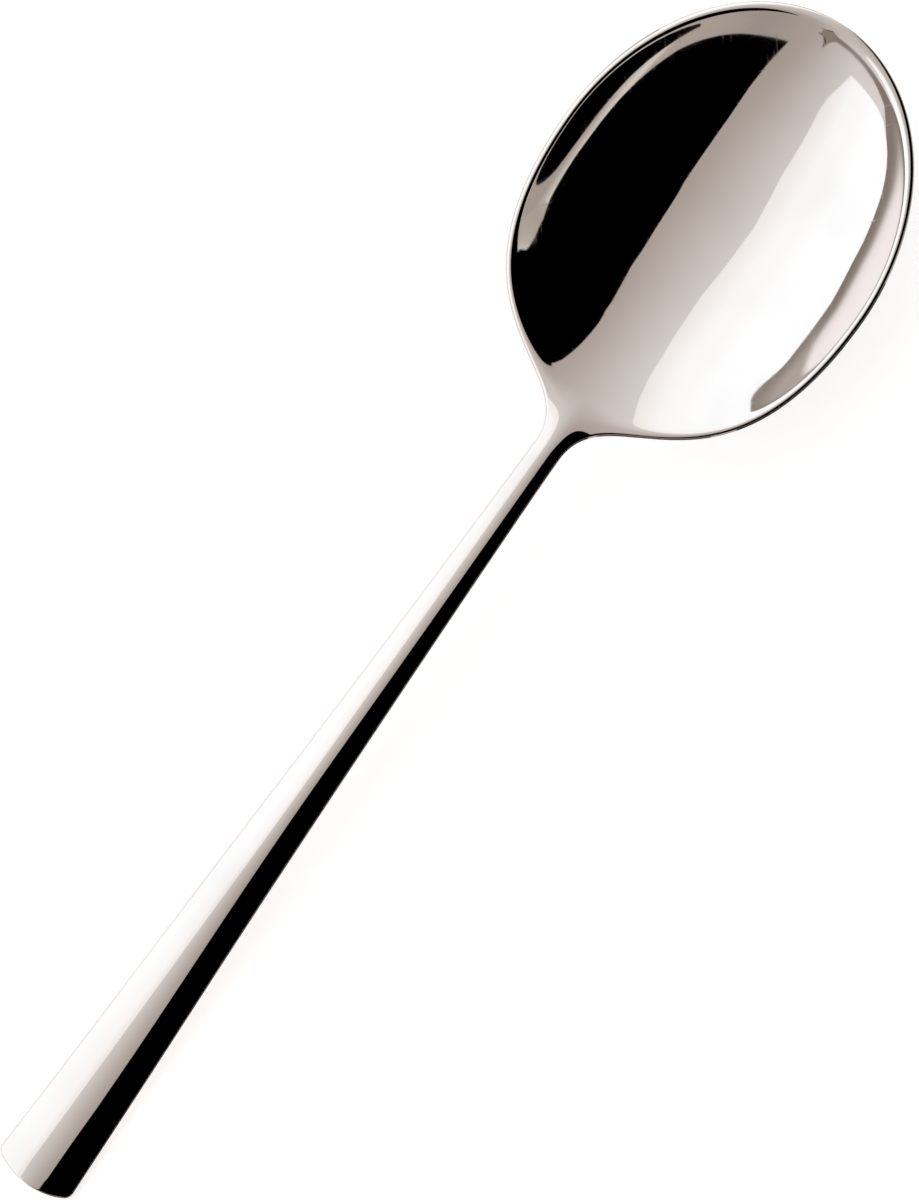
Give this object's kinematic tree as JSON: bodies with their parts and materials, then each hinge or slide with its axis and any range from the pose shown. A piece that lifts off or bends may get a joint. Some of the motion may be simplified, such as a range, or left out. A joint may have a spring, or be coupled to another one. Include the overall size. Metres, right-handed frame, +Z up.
{
  "type": "serving spoon",
  "caption": "Serving spoon with a broad oval bowl with a rolled rim, a slim rising neck and a crowned handle that widens to an arced end.",
  "frame": {"origin": "on the surface that the spoon rests on, under the middle of its outline", "axes": "+Y along the spoon from the end of the handle to the tip of the bowl, +Z up out of the hollow of the bowl, +X to the right seen from above with the bowl at the top"},
  "size_m": [0.064, 0.25, 0.0158],
  "materials": {
    "bowl_steel": "polished",
    "neck_steel": "polished",
    "handle_steel": "polished"
  },
  "bodies": {
    "root": {"bowl": "bowl_steel", "neck": "neck_steel", "handle": "handle_steel"}
  },
  "joints": []
}
